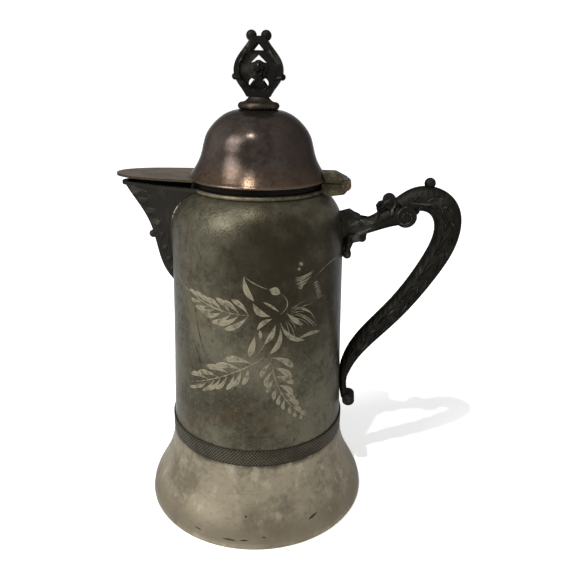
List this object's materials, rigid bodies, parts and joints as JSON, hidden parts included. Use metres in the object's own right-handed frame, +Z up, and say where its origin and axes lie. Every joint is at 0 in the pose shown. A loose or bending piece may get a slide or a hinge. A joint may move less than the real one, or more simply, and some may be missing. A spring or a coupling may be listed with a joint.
{
  "type": "creamer",
  "caption": "Tall lidded cream pitcher with a flared foot, keeled spout, scrolled handle and hinged dome lid with an openwork finial.",
  "frame": {"origin": "centre of the foot ring where it rests on the table", "axes": "+Z up, +X towards the handle and hinge, -X towards the spout"},
  "size_m": [0.1387, 0.0968, 0.197],
  "materials": {
    "foot_plate": "worn silver plate, smudged",
    "dark_plate": "dark tarnished silver plate",
    "lid_plate": "purple-brown tarnished silver plate",
    "cast_metal": "black oxidised cast white metal",
    "hinge_metal": "tarnished plate"
  },
  "bodies": {
    "pitcher": {"spun_foot": "foot_plate", "base_plate": "foot_plate", "body_shell": "dark_plate", "vessel_bottom": "dark_plate", "milled_band": "dark_plate", "mouth_collar": "dark_plate", "spout_shell": "cast_metal", "neck_hinge_leaf": "hinge_metal", "hinge_pin": "hinge_metal", "handle_bracket": "cast_metal", "handle_grip": "cast_metal", "handle_lower_scroll": "cast_metal"},
    "lid": {"lid_dome": "lid_plate", "lid_bezel": "lid_plate", "lid_flap": "lid_plate", "lid_hinge_leaf": "hinge_metal", "finial_base": "hinge_metal", "finial_casting": "cast_metal", "finial_stud": "hinge_metal", "finial_washer": "hinge_metal", "finial_nut": "hinge_metal"}
  },
  "joints": [
    {"name": "lid_hinge", "type": "hinge", "parent": "pitcher", "child": "lid", "pos_m": [0.035, 0, 0.1414], "axis": [0, 1, 0], "range_deg": [0, 110]}
  ]
}
